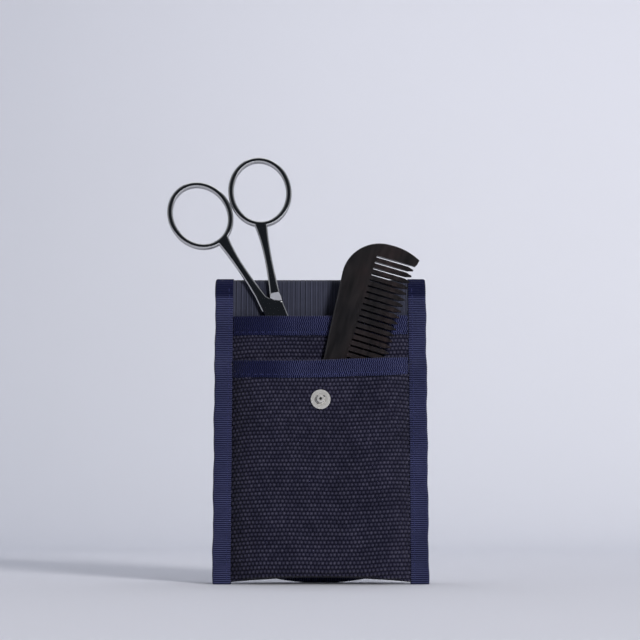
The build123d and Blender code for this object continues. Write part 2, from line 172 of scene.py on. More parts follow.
def mesh_object(name, points, quads, uv=None, painted_light=None):
    """A mesh object from points in metres and quads, turned so that its faces point outwards."""
    corners = points[quads]
    fan = np.einsum("ij,ij->i", corners[:, 0], np.cross(corners[:, 1], corners[:, 2]))
    fan += np.einsum("ij,ij->i", corners[:, 0], np.cross(corners[:, 2], corners[:, 3]))
    if fan.sum() < 0:
        quads = quads[:, ::-1]
    mesh = bpy.data.meshes.new(name)
    mesh.vertices.add(len(points))
    mesh.vertices.foreach_set("co", points.astype(np.float32).ravel())
    mesh.loops.add(quads.size)
    mesh.loops.foreach_set("vertex_index", quads.astype(np.int32).ravel())
    mesh.polygons.add(len(quads))
    mesh.polygons.foreach_set("loop_start", np.arange(0, quads.size, 4, dtype=np.int32))
    mesh.update(calc_edges=True)
    mesh.validate()
    mesh.polygons.foreach_set("use_smooth", np.ones(len(mesh.polygons), bool))
    if uv is not None:
        layer = mesh.uv_layers.new(name="cloth")
        index = np.empty(len(mesh.loops), np.int32)
        mesh.loops.foreach_get("vertex_index", index)
        layer.data.foreach_set("uv", uv[index].astype(np.float32).ravel())
    # Painted light: an attribute with the painted sheen or shade that the cloth material puts in the colour.
    if painted_light is not None:
        attribute = mesh.attributes.new("painted_light", "FLOAT", "POINT")
        attribute.data.foreach_set("value", painted_light.astype(np.float32))
    thing = bpy.data.objects.new(name, mesh)
    bpy.context.scene.collection.objects.link(thing)
    return thing


def grid_quads(rows, columns, start=0, wrap=False):
    """Quads over a grid of rows by columns of points, joined round its columns if wrap is set."""
    index = np.arange(rows * columns).reshape(rows, columns) + start
    if wrap:
        index = np.concatenate([index, index[:, :1]], axis=1)
    return np.stack([index[:-1, :-1], index[:-1, 1:], index[1:, 1:], index[1:, :-1]], axis=-1).reshape(-1, 4)


def shell(name, outer, inner, place, painted_light=1.0):
    """A closed sheet between two grids of the same size, joined round its four edges.

    place holds each point's two places in the cloth's pattern, and the last argument the painted light of
    each point: how much painted sheen or shade its colour takes.
    """
    rows, columns = outer.shape[:2]
    count = rows * columns
    index = np.arange(count).reshape(rows, columns)
    rim = np.concatenate([index[0, :-1], index[:-1, -1], index[-1, :0:-1], index[:0:-1, 0]])
    onward = np.roll(rim, -1)
    sides = np.stack([onward, rim, rim + count, onward + count], axis=-1)
    quads = np.concatenate([grid_quads(rows, columns), grid_quads(rows, columns, count)[:, ::-1], sides])
    points = leaned(np.concatenate([outer.reshape(-1, 3), inner.reshape(-1, 3)]))
    uv = np.tile(place.reshape(-1, 2), (2, 1))
    painted_light = np.tile(np.broadcast_to(painted_light, (rows, columns)).ravel(), 2)
    return mesh_object(name, points, quads, uv, painted_light)


def spread(*coordinates):
    """Points of a grid from x, y and z, each a number, a row, a column or a whole grid."""
    return np.stack(np.broadcast_arrays(*coordinates), axis=-1)


def ribbon(name, loops, ribs, painted_light):
    """A closed profile carried along a path: loops is (stations, profile points, 3).

    ribs counts the tape's ribs up to each point. Each end is closed by a strip of quads from the profile's
    outside to its inside, which has as many points.
    """
    stations, around = loops.shape[:2]
    quads = [grid_quads(stations, around, wrap=True)]
    half = around // 2
    for base, turn in ((0, 1), ((stations - 1) * around, -1)):
        a = base + np.arange(half - 1)
        b = base + around - 1 - np.arange(half - 1)
        quads.append(np.stack([a, b, b - 1, a + 1], axis=-1)[:, ::turn])
    across = np.linspace(0, 1, half)
    uv = np.stack(np.broadcast_arrays(np.concatenate([across, across[::-1]]), ribs), axis=-1).reshape(-1, 2)
    painted_light = np.broadcast_to(painted_light, (stations, around)).ravel()
    return mesh_object(name, leaned(loops.reshape(-1, 3)), np.concatenate(quads), uv, painted_light)


def lathe(name, profile, centre, axis, beads, count=120):
    """A profile of (radius, distance) pairs in millimetres turned about an axis in the pouch's frame.

    beads holds the height, radius and width of a ring of small waves pressed into the face: one wave to
    every three of the count points round the axis.
    """
    bead_height, bead_radius, bead_width = beads
    profile = np.asarray(profile, float)
    angle = np.linspace(0, 2 * pi, count, endpoint=False)
    axis = np.asarray(axis, float)
    axis /= np.linalg.norm(axis)
    side = np.cross(axis, [1.0, 0, 0])
    side /= np.linalg.norm(side)
    other = np.cross(axis, side)
    ring = np.cos(angle)[:, None] * side + np.sin(angle)[:, None] * other
    raised = bead_height * np.exp(-((profile[:, 0] - bead_radius) / bead_width) ** 2) * (profile[:, 1] > 0.5)
    rise = profile[:, 1, None] + raised[:, None] * np.cos(count / 3 * angle)[None, :]
    points = profile[:, 0, None, None] * ring + rise[..., None] * axis + np.asarray(centre)
    closed = np.concatenate([points, points[:1]])
    quads = np.mod(grid_quads(len(closed), count, wrap=True), len(profile) * count)
    return mesh_object(name, leaned(points.reshape(-1, 3)), quads)


def smooth_profile(points, steps=4):
    """Points of a smooth closed curve (Catmull-Rom) through a closed list of points."""
    p = np.asarray(points, float)
    a, b, c, d = np.roll(p, 1, 0), p, np.roll(p, -1, 0), np.roll(p, -2, 0)
    t = np.linspace(0, 1, steps, endpoint=False)[None, :, None]
    curve = 0.5 * (2 * b[:, None] + (c - a)[:, None] * t + (2 * a - 5 * b + 4 * c - d)[:, None] * t**2
                   + (3 * b - a - 3 * c + d)[:, None] * t**3)
    return curve.reshape(-1, p.shape[1])


def stitch_row(name, places, along, outward, length=2.3, width=0.42, height=0.3):
    """Short threads, each a stretched ball: places, runs and outward directions are (count, 3) arrays."""
    theta = np.linspace(0, pi, 7)[:, None]
    phi = np.linspace(0, 2 * pi, 8, endpoint=False)[None, :]
    ball = spread(np.cos(theta), np.sin(theta) * np.cos(phi), np.sin(theta) * np.sin(phi))
    ball[[0, -1]] *= [1, 0, 0]
    ball = ball.reshape(-1, 3) * [length / 2, width / 2, height / 2]
    along = along / np.linalg.norm(along, axis=1, keepdims=True)
    across = np.cross(outward, along)
    points = places[:, None] + ball[:, 0, None] * along[:, None] + ball[:, 1, None] * across[:, None]
    points = points + ball[:, 2, None] * outward[:, None]
    base = grid_quads(7, 8, wrap=True)
    quads = (base[None] + (np.arange(len(places)) * len(ball))[:, None, None]).reshape(-1, 4)
    return mesh_object(name, leaned(points.reshape(-1, 3)), quads)


# Materials


def new_material(name):
    material = bpy.data.materials.new(name)
    material.use_nodes = True
    nodes, links = material.node_tree.nodes, material.node_tree.links
    return material, nodes, links, nodes["Principled BSDF"]


def ramp(nodes, stops):
    """A colour ramp from (position, colour) stops."""
    node = nodes.new("ShaderNodeValToRGB")
    while len(node.color_ramp.elements) < len(stops):
        node.color_ramp.elements.new(0.5)
    for element, (position, colour) in zip(node.color_ramp.elements, stops):
        element.position = position
        element.color = (*colour, 1)
    return node


def noise(nodes, links, source, scale, stretch=(1, 1, 1), detail=3.0):
    """Noise on a coordinate that is stretched by a Mapping node."""
    mapping = nodes.new("ShaderNodeMapping")
    mapping.inputs["Scale"].default_value = stretch
    texture = nodes.new("ShaderNodeTexNoise")
    texture.inputs["Scale"].default_value = scale
    texture.inputs["Detail"].default_value = detail
    links.new(source, mapping.inputs["Vector"])
    links.new(mapping.outputs["Vector"], texture.inputs["Vector"])
    return texture.outputs["Fac"]


def mix_colour(nodes, links, kind, factor, a, b):
    node = nodes.new("ShaderNodeMix")
    node.data_type = "RGBA"
    node.blend_type = kind
    for socket, value in (("Factor", factor), ("A", a), ("B", b)):
        wanted = "VALUE" if socket == "Factor" else "RGBA"
        target = next(s for s in node.inputs if s.name == socket and s.type == wanted)
        if isinstance(value, (int, float)):
            target.default_value = value
        else:
            links.new(value, target)
    return next(s for s in node.outputs if s.type == "RGBA")


def add_bump(nodes, links, shader, height, distance, strength=1.0):
    bump = nodes.new("ShaderNodeBump")
    bump.inputs["Distance"].default_value = distance
    bump.inputs["Strength"].default_value = strength
    links.new(height, bump.inputs["Height"])
    links.new(bump.outputs["Normal"], shader.inputs["Normal"])


def maths(nodes, links, operation, *values):
    node = nodes.new("ShaderNodeMath")
    node.operation = operation
    for socket, value in zip(node.inputs, values):
        if isinstance(value, (int, float)):
            socket.default_value = value
        else:
            links.new(value, socket)
    return node.outputs["Value"]


def arch(nodes, links, value, power):
    """A rounded ridge for each whole step of a value: the sine of half a turn to a power."""
    half_turn = maths(nodes, links, "MULTIPLY", maths(nodes, links, "FRACT", value), pi)
    return maths(nodes, links, "POWER", maths(nodes, links, "SINE", half_turn), power)


def remap(nodes, links, value, low, high, to_low=0.0, to_high=1.0, kind="LINEAR"):
    """A value between low and high, brought to between to_low and to_high."""
    node = nodes.new("ShaderNodeMapRange")
    node.interpolation_type = kind
    for socket, number in (("From Min", low), ("From Max", high), ("To Min", to_low), ("To Max", to_high)):
        node.inputs[socket].default_value = number
    links.new(value, node.inputs["Value"])
    return node.outputs["Result"]


def basket_pattern(nodes, links, x, y):
    """The weave's height, and its brightness for painted shade in the gaps and a painted highlight on the
    crowns, at a place x across and y up; its bumps differ a little.
    """
    row = maths(nodes, links, "FLOOR", y)
    odd = maths(nodes, links, "FLOORED_MODULO", row, 2.0)
    shifted = maths(nodes, links, "ADD", x, maths(nodes, links, "MULTIPLY", odd, 0.5))
    bump = maths(nodes, links, "MULTIPLY", arch(nodes, links, shifted, 0.6), arch(nodes, links, y, 0.7))
    strands = arch(nodes, links, maths(nodes, links, "MULTIPLY", y, 3.0), 0.5)
    height = maths(nodes, links, "MULTIPLY", bump, maths(nodes, links, "MULTIPLY_ADD", strands, 0.25, 0.75))
    cell = nodes.new("ShaderNodeCombineXYZ")
    links.new(maths(nodes, links, "FLOOR", shifted), cell.inputs["X"])
    links.new(row, cell.inputs["Y"])
    chance = nodes.new("ShaderNodeTexWhiteNoise")
    links.new(cell.outputs["Vector"], chance.inputs["Vector"])
    share = maths(nodes, links, "MULTIPLY_ADD", chance.outputs["Value"], 0.3, 0.66)
    return height, maths(nodes, links, "MULTIPLY", height, share)


def cloth_material(name, kind, low, mid, high, fibre=(900, 900, 2600), roughness=0.9, sheen=0.06, crisp=1.5):
    """Cloth from the piece's pattern places: basket canvas, ribbed tape, or plain cloth where kind is empty.
    Its colour carries painted light: painted shade in the weave's gaps and between the ribs, a painted
    highlight on their crowns, and the painted sheen or shade that each point holds.

    crisp is how narrow the crests of a tape's ribs are, both in their bump and in their painted highlight.
    """
    material, nodes, links, shader = new_material(name)
    place = nodes.new("ShaderNodeTexCoord")
    split = nodes.new("ShaderNodeSeparateXYZ")
    links.new(place.outputs["UV"], split.inputs["Vector"])
    x, y = split.outputs["X"], split.outputs["Y"]
    # The attribute read here is painted light: painted sheen or shade for the colour.
    painted_light = nodes.new("ShaderNodeAttribute")
    painted_light.attribute_name = "painted_light"
    fibres = noise(nodes, links, place.outputs["Object"], 1.0, fibre, 2.0)
    height, bright = painted_light.outputs["Fac"], painted_light.outputs["Fac"]
    if kind == "basket":
        height, bright = basket_pattern(nodes, links, x, y)
    elif kind == "ribs":
        height = arch(nodes, links, y, crisp)
        bright = maths(nodes, links, "MULTIPLY", height, painted_light.outputs["Fac"])
    # Painted light: the ramp runs from painted shade through the cloth's colour to a painted highlight.
    colours = ramp(nodes, [(0.0, low), (0.55 if kind == "ribs" else 0.5, mid), (1.0, high)])
    links.new(bright, colours.inputs["Fac"])
    patches = ramp(nodes, [(0.3, (0.8, 0.8, 0.82)), (0.7, (1.15, 1.13, 1.13))])
    links.new(noise(nodes, links, place.outputs["Object"], 60.0), patches.inputs["Fac"])
    colour = mix_colour(nodes, links, "MULTIPLY", 1.0, colours.outputs["Color"], patches.outputs["Color"])
    flecks = ramp(nodes, [(0.6, (0, 0, 0)), (0.8, (0.016, 0.0155, 0.02))])
    links.new(fibres, flecks.inputs["Fac"])
    colour = mix_colour(nodes, links, "ADD", 0.5, colour, flecks.outputs["Color"])
    links.new(colour, shader.inputs["Base Color"])
    shader.inputs["Roughness"].default_value = roughness
    shader.inputs["Sheen Weight"].default_value = sheen
    shader.inputs["Sheen Roughness"].default_value = 0.4
    shader.inputs["Specular IOR Level"].default_value = 0.08
    grain = maths(nodes, links, "ADD", height, maths(nodes, links, "MULTIPLY", fibres, 0.35))
    add_bump(nodes, links, shader, grain, 0.0003 if kind else 0.00015, 0.8)
    return material


def steel_material(name, colour, roughness, scratch=0.00001, grain=900, metallic=1.0, edge=0.35):
    """Polished metal with faint rubbing marks; edge is how bright its grazing reflections are."""
    material, nodes, links, shader = new_material(name)
    place = nodes.new("ShaderNodeTexCoord").outputs["Object"]
    marks = noise(nodes, links, place, 1.0, (grain, grain, grain if grain > 1000 else 240), 4.0)
    gloss = remap(nodes, links, marks, 0.0, 1.0, roughness * 0.75, roughness * 1.5)
    links.new(gloss, shader.inputs["Roughness"])
    tint = ramp(nodes, [(0.2, tuple(c * 0.9 for c in colour)), (0.8, colour)])
    links.new(marks, tint.inputs["Fac"])
    links.new(tint.outputs["Color"], shader.inputs["Base Color"])
    shader.inputs["Metallic"].default_value = metallic
    shader.inputs["Specular Tint"].default_value = (*(edge * c for c in (1.0, 1.0, 1.04)), 1)
    add_bump(nodes, links, shader, marks, scratch, 0.5)
    return material


def wood_material(name, dark, light):
    """Dark close-grained wood with streaks along the comb and a worn gloss."""
    material, nodes, links, shader = new_material(name)
    place = nodes.new("ShaderNodeTexCoord").outputs["Object"]
    turn = nodes.new("ShaderNodeMapping")
    turn.inputs["Rotation"].default_value = (0, radians(-16.5), 0)
    links.new(place, turn.inputs["Vector"])
    streaks = noise(nodes, links, turn.outputs["Vector"], 1.0, (420, 420, 28), 5.0)
    pores = noise(nodes, links, turn.outputs["Vector"], 1.0, (2200, 2200, 160), 2.0)
    blotch = noise(nodes, links, place, 55.0)
    grain = ramp(nodes, [(0.3, dark), (0.62, light), (0.75, dark)])
    links.new(streaks, grain.inputs["Fac"])
    warm = ramp(nodes, [(0.32, (0.62, 0.66, 0.7)), (0.5, (1, 1, 1)), (0.66, (1.35, 1.08, 1.05))])
    links.new(blotch, warm.inputs["Fac"])
    colour = mix_colour(nodes, links, "MULTIPLY", 1.0, grain.outputs["Color"], warm.outputs["Color"])
    links.new(colour, shader.inputs["Base Color"])
    shader.inputs["Roughness"].default_value = 0.34
    shader.inputs["Specular IOR Level"].default_value = 0.5
    shader.inputs["Coat Weight"].default_value = 0.12
    shader.inputs["Coat Roughness"].default_value = 0.35
    add_bump(nodes, links, shader, pores, 0.00006, 0.6)
    return material


def dress(thing, material, body, slot, *replaced):
    thing.data.materials.clear()
    thing.data.materials.append(material)
    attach(thing, body)
    if replaced:
        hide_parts(*replaced)
    return thing


# Sizes and colours that a user would change


def length_setting(name, description, default):
    return bpy.props.FloatProperty(name=name, description=description, default=default, min=0)


def colour_setting(name, description, default):
    return bpy.props.FloatVectorProperty(
        name=name, description=description, subtype="COLOR", size=3, default=default
    )


class KitCloth(bpy.types.PropertyGroup):
    weave_height: length_setting("Weave height", "How far the weave's bumps stand out, in millimetres", 1.0)
    rib_height: length_setting("Rib height", "How far the tape's ribs stand out, in millimetres", 0.26)
    # The canvas's gap colour is painted shade in the weave's gaps, and its crown colour a painted highlight
    # on the yarn's crowns.
    canvas_gap_painted_shade: colour_setting("Canvas gaps", "Colour in the gaps of the weave", (0.001, 0.001, 0.0055))
    canvas_mid: colour_setting("Canvas yarn", "Colour of the yarn", (0.0185, 0.0185, 0.034))
    canvas_crown_painted_highlight: colour_setting("Canvas crown", "Colour on top of the yarn", (0.054, 0.0525, 0.08))
    # The tape's between-rib colour is painted shade, and its rib colour a painted sheen on the ribs.
    tape_painted_shade: colour_setting("Tape between ribs", "Colour between the ribs", (0.002, 0.003, 0.02))
    tape_painted_sheen: colour_setting("Tape rib", "Colour on the ribs", (0.09, 0.1, 0.215))
    lining: colour_setting("Lining", "Colour of the lining", (0.027, 0.0295, 0.045))


class KitMetal(bpy.types.PropertyGroup):
    steel: colour_setting("Scissor steel", "Colour of the polished steel", (0.62, 0.62, 0.62))
    steel_roughness: bpy.props.FloatProperty(
        name="Steel roughness", description="Roughness of the polished steel", subtype="FACTOR",
        default=0.09, min=0, max=1,
    )
    stud: colour_setting("Stud metal", "Colour of the press stud's plating", (0.78, 0.77, 0.74))


def made_once(name, make, *values, **named):
    """The material of this name, made by its function the first time that it is asked for."""
    return bpy.data.materials.get(name) or make(name, *values, **named)


def cloth_settings():
    return bpy.context.scene.kit_cloth


def canvas():
    c = cloth_settings()
    colours = tuple(c.canvas_gap_painted_shade), tuple(c.canvas_mid), tuple(c.canvas_crown_painted_highlight)
    return made_once("basket canvas", cloth_material, "basket", *colours)


def tape_cloth(name="ribbed tape", crisp=1.2):
    # The tape's colours are painted shade between the ribs and a painted sheen on them.
    low, high = tuple(cloth_settings().tape_painted_shade), tuple(cloth_settings().tape_painted_sheen)
    middle = tuple(0.8 * a + 0.2 * b for a, b in zip(low, high))
    return made_once(name, cloth_material, "ribs", low, middle, high, crisp=crisp)


def lining_cloth():
    mid = tuple(cloth_settings().lining)
    # The lining's darker and lighter colours are painted shade and painted highlight along its creases.
    low, high = tuple(0.25 * c for c in mid), tuple(1.9 * c for c in mid)
    return made_once("plain lining", cloth_material, "", low, mid, high, (2600, 2600, 300), 0.62, 0.1)


def thread():
    colour = (0.024, 0.028, 0.085)
    return made_once("sewing thread", cloth_material, "", colour, colour, (0.03, 0.034, 0.09))


def stud_metal():
    colour = tuple(bpy.context.scene.kit_metal.stud)
    return made_once("stud plating", steel_material, colour, 0.42, 0.00005, 1700, 0.7, 0.9)


# Pieces


def across_pouch(count):
    """A row of places across a panel, into the side tapes at both ends."""
    return np.linspace(-SEAM - SEAM_ALLOWANCE, SEAM + SEAM_ALLOWANCE, count)[None, :]


def front_y(x, z):
    """The front panel's outer face: the swell, drawn in near the bottom as the cloth turns under."""
    under = np.clip((BOTTOM - z) / (BOTTOM - 1.0), 0, 1)
    keep = np.sqrt(np.clip(1 - 0.8 * under**2.2, 0, 1))
    return PANEL_FRONT - FRONT_DEPTH * swell(x) * keep


def sole_height(x):
    """The height of the pouch's underside at x: it arches up between the side tapes."""
    return SOLE + SOLE_ARCH * np.clip(1 - (x / SEAM) ** 2, 0, 1)


def front_cloth():
    """The front panel, its weave raised along the swell's own outward direction."""
    u = across_pouch(220)
    lift = sole_height(u)
    v = np.linspace(0, FRONT_MOUTH, 226)[:, None]
    z = lift + v * (FRONT_MOUTH - lift) / FRONT_MOUTH
    place = weave(u, z)
    height = cloth_settings().weave_height * (basket_relief(place) - 0.55)
    x = np.broadcast_to(u, z.shape)
    y = front_y(u, z)
    slope_x = np.gradient(y, axis=1) / np.gradient(x, axis=1)
    slope_z = np.gradient(y, axis=0) / np.gradient(z, axis=0)
    length = np.sqrt(1 + slope_x**2 + slope_z**2)
    normal = np.stack([slope_x / length, -1 / length, slope_z / length], axis=-1)
    face = np.stack([x, y, z], axis=-1)
    outer = face + height[..., None] * normal
    inner = face - (CANVAS - 0.1) * normal
    inner[..., 1] = np.minimum(inner[..., 1], DIVIDER_FRONT - 0.05)
    dress(shell("front_cloth", outer, inner, place), canvas(), "pouch", "canvas", "front_panel")


def bottom_cloth():
    """The canvas under the pouch, from the front panel's foot back to the back panel and up it."""
    t = np.linspace(0, 1, 14)[:, None]
    x = across_pouch(120)
    rise = sole_height(x)
    start = front_y(x, rise) + 0.3
    y = start + (CANVAS - start) * t
    z = rise + 0.1 + (BOTTOM - rise) * ease((t - 0.93) / 0.07)
    under = spread(x, y, z)
    sole = shell("bottom_cloth", under, under + [0, -0.02, CANVAS * 0.8], weave(x, y))
    dress(sole, canvas(), "pouch", "canvas", "bottom_fold")


class KIT_OT_front(bpy.types.Operator):
    """Front panel of basket-woven canvas, with its turn under the pouch"""

    bl_idname = "kit.front"
    bl_label = "Front panel"

    def execute(self, context):
        front_cloth()
        bottom_cloth()
        return {"FINISHED"}


class KIT_OT_divider(bpy.types.Operator):
    """Divider panel of canvas between the two pockets, woven where it isn't hidden in the front pocket"""

    bl_idname = "kit.divider"
    bl_label = "Divider"

    def execute(self, context):
        hidden = 100
        u = across_pouch(236)
        shown = np.linspace(hidden + 0.4, DIVIDER_MOUTH, 84)
        z = np.concatenate([np.linspace(DIVIDER_FOOT, hidden, 24), shown])[:, None]
        place = weave(u, z + 0 * u)
        height = cloth_settings().weave_height * 0.8 * (basket_relief(place) - 0.6) * (z > hidden)
        y = DIVIDER_FRONT - REAR_DEPTH * swell(u) - height
        outer = spread(u, y, z)
        back = LINING_FRONT - 0.02 - REAR_DEPTH * swell(u)
        inner = spread(u, back, z)
        cloth = shell("divider_cloth", outer, inner, place)
        dress(cloth, canvas(), "pouch", "canvas", "divider_panel")
        return {"FINISHED"}


def streaks(u, t):
    """Height from 0 to 1 of fine creases that run up the lining and wander with t; it also sets the painted
    shade and painted highlight along them.
    """
    wander = 1.4 * np.sin(t / 31.0 + u / 17.0)
    fine = np.sin(4.9 * u + wander) + 0.8 * np.sin(7.3 * u + 2.1 * wander + 1.0)
    fine = fine + 0.7 * np.sin(2.7 * u + np.sin(t / 19.0))
    fine = fine * (0.75 + 0.25 * np.sin(u / 5.0 + t / 40.0)) + 0.5 * np.sin(9.7 * u + 0.8)
    return np.clip(0.5 + 0.2 * fine, 0, 1)


def up_and_over(straight_count, curl_count):
    """A column of places up the back to the fold line, and on round the fold to the cloth's end."""
    straight = np.linspace(CLOTH_FOOT, FOLD_Z, straight_count)
    return np.concatenate([straight, np.linspace(FOLD_Z + 0.6, CURL_END, curl_count)])[:, None]


class KIT_OT_back(bpy.types.Operator):
    """Back panel and its lining, wound over the fold at the top"""

    bl_idname = "kit.back"
    bl_label = "Back and lining"

    def execute(self, context):
        edge = HALF_WIDTH - TAPE - 0.3
        u = np.linspace(-edge, edge, 170)[None, :]
        t = up_and_over(225, 40)
        place = weave(u, t + 0 * u)
        rear = curled(u, CANVAS - 0.1 + BACK_RELIEF * (basket_relief(place) - 1), t)
        fore = curled(u, 0.02 + 0 * u, t)
        cloth = shell("back_cloth", rear, fore, place)
        dress(cloth, canvas(), "pouch", "canvas", "back_panel")
        u = np.linspace(-edge, edge, 420)[None, :]
        t = up_and_over(76, 26)
        creases_and_painted_light = streaks(u, t)
        face = curled(u, LINING_FRONT - 0.12 * creases_and_painted_light, t)
        under = curled(u, -0.03 + 0 * u, t)
        # The crease heights also give the lining its painted shade and highlight.
        lining = shell("back_lining_cloth", face, under, spread(u, t), creases_and_painted_light)
        dress(lining, lining_cloth(), "pouch", "lining", "back_lining")
        return {"FINISHED"}


def tape_front(t):
    """The side tape's front face at a height: it steps back where each pocket's cloth ends."""
    y = PANEL_FRONT + (DIVIDER_FRONT - PANEL_FRONT) * ease((t - FRONT_MOUTH + 3) / 9)
    return y + (LINING_FRONT - DIVIDER_FRONT) * ease((t - DIVIDER_MOUTH + 3) / 9)


def tape_rib(crown, skin):
    """How far a tape's rib stands out of its outer skin; its inner skin is smooth."""
    return cloth_settings().rib_height * (crown - 0.7) * (skin > 0.1)


def closed_profile(loops):
    """The outer skin's profile out and the inner skin's back."""
    return np.concatenate([loops[0], loops[1][:, ::-1]], axis=1)


def side_tape_profile(t, side, crown):
    """The folded tape's profiles at heights t, as distances out from the seam and y."""
    waves = (0.16 * np.sin(t / 5.3 + side) + 0.1 * np.sin(t / 2.1))[:, None]
    front = tape_front(t)[:, None]
    rear = CANVAS + 0 * front
    inward = np.linspace(0, 1, 16)[None, :]
    turn = np.linspace(0, pi / 2, 6)[None, 1:]
    back_turn = turn - turn[0, 0]
    lip = waves * 0.3
    loops = []
    for skin in (TAPE, 0.02):
        rib = tape_rib(crown, skin)
        edge = HALF_WIDTH - SEAM - TAPE + skin - 0.15 * (skin > 0.1) + rib + waves * (skin > 0.1)
        fore, aft = front - skin - rib, rear + skin + rib
        roll = np.minimum(1.1, 0.45 * (aft - fore))
        leg = lip + (edge - roll - lip) * inward
        x = [leg, edge - roll * (1 - np.sin(turn)), edge - roll * (1 - np.cos(back_turn)), leg[:, ::-1]]
        front_roll, back_roll = fore + roll * (1 - np.cos(turn)), aft - roll * (1 - np.sin(back_turn))
        y = [fore + 0 * leg, front_roll, back_roll, aft + 0 * leg]
        loops.append(np.stack([np.concatenate(x, axis=1), np.concatenate(y, axis=1)], axis=-1))
    return closed_profile(loops)


def side_stitches(name, side, outward):
    """A row of stitches up a side tape, on its front face (outward -1) or its rear face (outward 1)."""
    z = np.arange(3.0, FOLD_Z - 1, STITCH_PITCH)
    y = tape_front(z) - TAPE if outward < 0 else np.full_like(z, CANVAS + TAPE)
    x = side * (SEAM + 2.0) + 0.12 * np.sin(z * 3)
    places = np.stack([x, y + 0.02 * outward, z], axis=-1)
    run = np.tile([0.0, 0, 1.0], (len(z), 1))
    out = np.tile([0.0, outward, 0], (len(z), 1))
    dress(stitch_row(name, places, run, out), thread(), "pouch", "tape")


class KIT_OT_side_tapes(bpy.types.Operator):
    """Ribbed tape folded round each side of the pouch, with its stitches"""

    bl_idname = "kit.side_tapes"
    bl_label = "Side tapes"

    def execute(self, context):
        t = np.concatenate([np.arange(-0.6, FOLD_Z, 0.167), np.arange(FOLD_Z, CURL_END, 0.2)])
        crown = rib_relief(t)[:, None]
        # Painted light: the tape's painted sheen, dimmed to painted shade from 7 mm below the fold line and
        # on round the fold.
        painted_light = (0.74 - 0.5 * ease((t - FOLD_Z + 7) / 2.5))[:, None]
        for side, name in ((-1, "left"), (1, "right")):
            profile = side_tape_profile(t, side, crown)
            points = curled(side * (SEAM + profile[..., 0]), profile[..., 1], t[:, None])
            tape = ribbon(f"{name}_side_binding", points, t[:, None] / RIB, painted_light)
            dress(tape, tape_cloth(), "pouch", "tape", f"{name}_side_tape")
            side_stitches(f"{name}_front_stitches", side, -1)
            side_stitches(f"{name}_rear_stitches", side, 1)
        return {"FINISHED"}


def divider_rise(x):
    return 0.5 * ease((x - 5) / 40) - 0.2


def front_rise(x):
    return 1.5 * ease((x + 10) / 56) - 0.5


def mouth_top(x, top, depth, rise):
    """The height of a pocket's mouth at x: lower where the panel swells, and higher to the right by rise."""
    return top + rise(x) + 0.18 * depth * (1 - swell(x))


def mouth_binding(name, panel_y, thickness, depth, top, rise):
    """Tape folded over a pocket's mouth: a folded profile carried across the panel's swell."""
    front_rows, back_rows = 24, 6
    arc = slice(front_rows, -back_rows)
    cover = MOUTH_COVER[name]
    x = np.arange(-SEAM + 0.25, SEAM - 0.2, 0.16)
    middle = (panel_y - thickness / 2 - depth * swell(x))[:, None]
    height = (mouth_top(x, top, depth, rise) + 0.06 * np.sin(x / 6.1))[:, None]
    front, back = np.linspace(0, 1, front_rows)[None, :], np.linspace(1, 0, back_rows)[None, :]
    turn = np.linspace(0, pi, 10)[None, 1:-1]
    drop = cover + 0.08 * np.sin(x / 4.0)[:, None]
    share = np.concatenate([1 - front, 0 * turn, 1 - back], axis=1)
    bend = np.concatenate([0 * front, turn, 0 * back], axis=1)
    count = x[:, None] + 0.6 * zigzag(drop * share)
    crown = rib_relief(count)
    gap = np.clip(depth * swell(x) - 0.15, 0.0, TAPE)[:, None]
    loops = []
    for skin in (TAPE, 0.03):
        rib = tape_rib(crown, skin)
        half = thickness / 2 + skin + rib
        crest = height + skin + rib
        z = crest - half - (drop - half) * share
        z[:, arc] = (crest - half * (1 - np.sin(bend)))[:, arc]
        y = middle - half
        y[:, arc] = (middle - half * np.cos(bend))[:, arc]
        y[:, -back_rows:] = middle + thickness / 2 + np.minimum(skin, gap)
        loops.append(np.stack([y, z], axis=-1))
    profile = closed_profile(loops)
    ribs = np.concatenate([count, count[:, ::-1]], axis=1) / RIB
    # Painted light: the tape is in painted shade at its left end and rises to painted sheen between 34 mm and
    # 8 mm left of the middle.
    painted_light = 0.42 + 0.42 * ease((x + 34) / 26)[:, None]
    tape = ribbon(f"{name}_binding", spread(x[:, None], profile[..., 0], profile[..., 1]), ribs, painted_light)
    dress(tape, tape_cloth("ribbed mouth tape", 4.0), "pouch", "tape", f"{name}_mouth_tape")
    x = np.arange(-SEAM + 2, SEAM - 1.5, STITCH_PITCH)
    y = panel_y - thickness - TAPE - depth * swell(x)
    z = mouth_top(x, top, depth, rise) - cover + 1.9
    slope = depth * 6 * (np.abs(x) / SEAM) ** 5 / SEAM * np.sign(x)
    run = spread(np.ones_like(x), slope, 0.0)
    out = spread(slope, -np.ones_like(x), 0.0)
    out /= np.linalg.norm(out, axis=1, keepdims=True)
    row = stitch_row(f"{name}_binding_stitches", spread(x, y - 0.02, z), run, out)
    dress(row, thread(), "pouch", "tape")


class KIT_OT_mouth_tapes(bpy.types.Operator):
    """Ribbed tape folded over the two pocket mouths"""

    bl_idname = "kit.mouth_tapes"
    bl_label = "Mouth tapes"

    def execute(self, context):
        mouth_binding("divider", LINING_FRONT, DIVIDER, REAR_DEPTH, DIVIDER_MOUTH, divider_rise)
        mouth_binding("front", DIVIDER_FRONT, CANVAS, FRONT_DEPTH, FRONT_MOUTH, front_rise)
        return {"FINISHED"}


